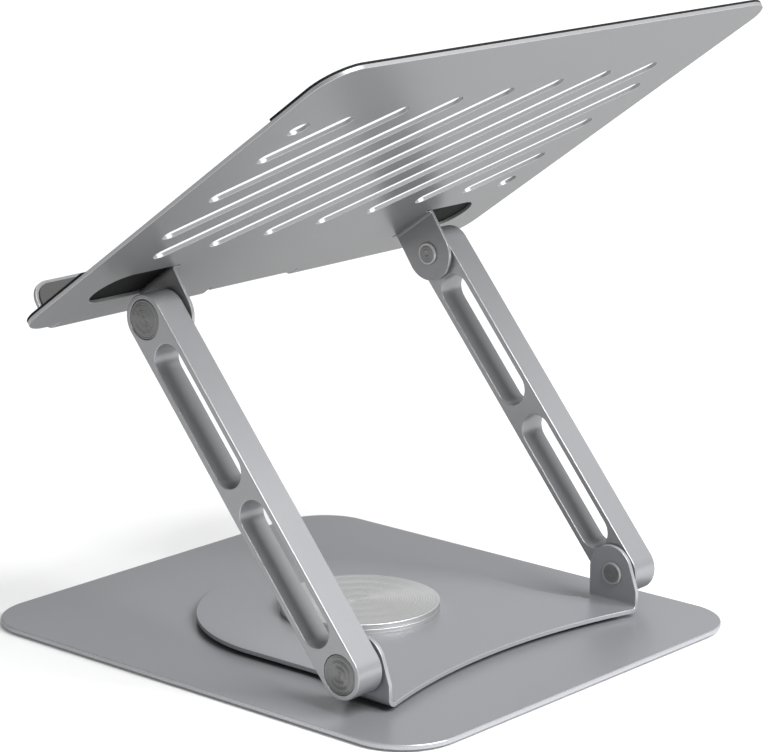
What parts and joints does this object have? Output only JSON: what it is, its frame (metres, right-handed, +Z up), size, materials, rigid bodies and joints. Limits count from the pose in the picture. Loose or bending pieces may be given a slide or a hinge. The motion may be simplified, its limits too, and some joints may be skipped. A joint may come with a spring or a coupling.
{
  "type": "laptop stand",
  "caption": "Folding laptop stand with a slotted tilting platform, front stops, slotted swing arms on friction hinges, and a turntable on a flat rounded base.",
  "frame": {"origin": "on the floor, at the base's centre, under the turntable's axis", "axes": "+Z up; +X to the stand's left, along the hinge lines; +Y to the rear, so the user sits on the -Y side and the platform rises towards +Y"},
  "size_m": [0.28, 0.257, 0.2748],
  "materials": {
    "sheet_aluminium": "satin anodised sheet",
    "arm_aluminium": "satin anodised bar",
    "spun_aluminium": "bright spun face with concentric tool lines",
    "cover_aluminium": "dark spun face",
    "pin_steel": "dull turned steel",
    "zinc_steel": "zinc plated",
    "spring_steel": "oiled spring steel",
    "bearing_steel": "polished",
    "black_silicone": "matt",
    "acetal": "matt"
  },
  "bodies": {
    "base": {"base_plate": "sheet_aluminium", "base_foot_front_left": "black_silicone", "base_foot_front_right": "black_silicone", "base_foot_rear_left": "black_silicone", "base_foot_rear_right": "black_silicone", "glide_ring": "acetal", "turntable_hub": "arm_aluminium", "hub_screws": "zinc_steel", "turntable_disc": "spun_aluminium"},
    "swivel": {"swivel_plate": "sheet_aluminium", "bearing_ring": "spun_aluminium", "ring_rivets": "zinc_steel", "hinge_pin_lower_left": "pin_steel", "spacer_lower_left": "acetal", "spring_washers_lower_left": "spring_steel", "lock_nut_lower_left": "zinc_steel", "hinge_pin_lower_right": "pin_steel", "spacer_lower_right": "acetal", "spring_washers_lower_right": "spring_steel", "lock_nut_lower_right": "zinc_steel"},
    "bearing_cage": {"ball_cage": "acetal", "bearing_balls": "bearing_steel"},
    "arm_left": {"arm_left": "arm_aluminium", "friction_washer_lower_left": "zinc_steel", "friction_washer_upper_left": "zinc_steel", "pivot_cover_lower_left": "cover_aluminium", "pivot_cover_upper_left": "cover_aluminium"},
    "arm_right": {"arm_right": "arm_aluminium", "friction_washer_lower_right": "zinc_steel", "friction_washer_upper_right": "zinc_steel", "pivot_cover_lower_right": "cover_aluminium", "pivot_cover_upper_right": "cover_aluminium"},
    "platform": {"platform_plate": "sheet_aluminium", "front_pad": "black_silicone", "rear_pad": "black_silicone", "hook_liner_left": "black_silicone", "hook_liner_right": "black_silicone", "hinge_pin_upper_left": "pin_steel", "spacer_upper_left": "acetal", "spring_washers_upper_left": "spring_steel", "lock_nut_upper_left": "zinc_steel", "hinge_pin_upper_right": "pin_steel", "spacer_upper_right": "acetal", "spring_washers_upper_right": "spring_steel", "lock_nut_upper_right": "zinc_steel"}
  },
  "joints": [
    {"name": "turntable", "type": "hinge", "parent": "base", "child": "swivel", "pos_m": [0, 0, 0.006], "axis": [0, 0, 1], "continuous": true},
    {"name": "cage_turn", "type": "hinge", "parent": "base", "child": "bearing_cage", "pos_m": [0, 0, 0.008], "axis": [0, 0, 1], "continuous": true},
    {"name": "arm_lift", "type": "hinge", "parent": "swivel", "child": "arm_left", "pos_m": [0.0913, 0.0783, 0.0205], "axis": [1, 0, 0], "range_deg": [-30, 42]},
    {"name": "arm_lift_right", "type": "hinge", "parent": "swivel", "child": "arm_right", "pos_m": [-0.0913, 0.0783, 0.0205], "axis": [1, 0, 0], "range_deg": [-30, 42]},
    {"name": "platform_tilt", "type": "hinge", "parent": "arm_left", "child": "platform", "pos_m": [0.0913, -0.03075, 0.15092], "axis": [1, 0, 0], "range_deg": [-80, 15]}
  ],
  "couplings": [
    {"joint": "cage_turn", "follows": "turntable", "ratio": 0.5},
    {"joint": "arm_lift_right", "follows": "arm_lift", "ratio": 1}
  ]
}
